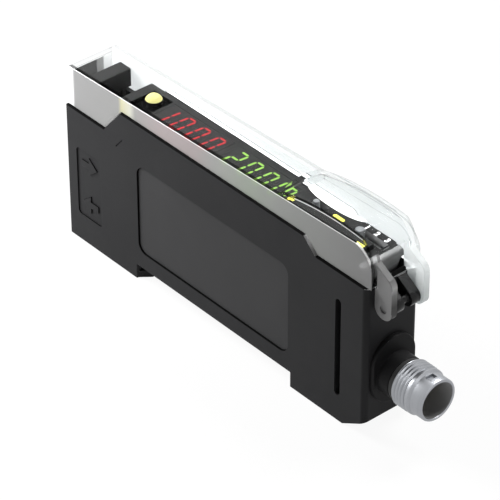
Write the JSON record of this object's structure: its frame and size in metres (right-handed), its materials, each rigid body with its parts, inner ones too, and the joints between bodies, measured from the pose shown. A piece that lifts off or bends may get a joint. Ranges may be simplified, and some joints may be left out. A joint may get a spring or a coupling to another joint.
{
  "type": "fibre optic sensor amplifier",
  "caption": "Slim rail-mounted fibre optic sensor amplifier with a clear hinged cover, two digital displays, a rocker, slide switches, a fibre clamp lever and a round connector",
  "frame": {"origin": "middle of the rail seat, between the two feet", "axes": "+X runs from the fibre end to the connector end, +Y to the hidden side, +Z away from the rail to the displays"},
  "size_m": [0.0778, 0.01, 0.0352],
  "materials": {
    "case_black": "fine moulded texture",
    "label_grey": "plain film",
    "clear_cover": "clear polycarbonate",
    "panel_black": "moulded",
    "display_dark": "tinted",
    "lamp_yellow": "lens",
    "switch_grey": "moulded",
    "steel": "drawn",
    "diode_red": "lens",
    "diode_dark": "lens",
    "board_green": "solder mask",
    "seal_rubber": "moulded",
    "nickel": "nickel plated",
    "contact_gold": "gold plated"
  },
  "bodies": {
    "housing": {"housing_case": "case_black", "side_cover": "case_black", "side_label": "label_grey", "top_panel": "panel_black", "red_display": "display_dark", "green_display": "display_dark", "output_lamp": "lamp_yellow", "tact_switches": "switch_grey", "mode_switch_body": "panel_black", "output_switch_body": "panel_black", "lever_pin": "steel", "fibre_block": "panel_black", "emitter_diode": "diode_red", "receiver_diode": "diode_dark", "display_board": "board_green", "main_board": "board_green", "board_header": "panel_black", "connector_collar": "panel_black", "connector_seal": "seal_rubber", "connector_shell": "nickel", "connector_insert": "panel_black", "contact_pins": "contact_gold", "latch_spring": "steel"},
    "cover": {"dust_cover": "clear_cover"},
    "lever": {"clamp_lever": "panel_black"},
    "yoke": {"rocker_yoke": "panel_black"},
    "rocker": {"rocker_button": "panel_black"},
    "mode_knob": {"mode_switch_knob": "switch_grey"},
    "output_knob": {"output_switch_knob": "switch_grey"},
    "latch": {"rail_latch": "panel_black"}
  },
  "joints": [
    {"name": "cover_hinge", "type": "hinge", "parent": "housing", "child": "cover", "pos_m": [0.0355, 0, 0.0208], "axis": [0, 1, 0], "range_deg": [0, 110]},
    {"name": "lever_pivot", "type": "hinge", "parent": "housing", "child": "lever", "pos_m": [-0.0286, 0, 0.00865], "axis": [0, 1, 0], "range_deg": [0, 15]},
    {"name": "set_press", "type": "slide", "parent": "housing", "child": "yoke", "axis": [0, 0, -1], "range_m": [0, 0.0003], "stiffness_N_per_m": 800, "springref_m": -0.0003},
    {"name": "rocker_tilt", "type": "hinge", "parent": "yoke", "child": "rocker", "pos_m": [0.0205, -0.00122, 0.02475], "axis": [0, 1, 0], "range_deg": [-2.5, 2.5], "stiffness_Nm_per_rad": 0.05},
    {"name": "mode_slide", "type": "slide", "parent": "housing", "child": "mode_knob", "axis": [1, 0, 0], "range_m": [0, 0.0042]},
    {"name": "output_slide", "type": "slide", "parent": "housing", "child": "output_knob", "axis": [1, 0, 0], "range_m": [0, 0.0015]},
    {"name": "latch_slide", "type": "slide", "parent": "housing", "child": "latch", "axis": [1, 0, 0], "range_m": [0, 0.0016], "stiffness_N_per_m": 1000, "springref_m": -0.001, "deforming": ["latch_spring"]}
  ]
}
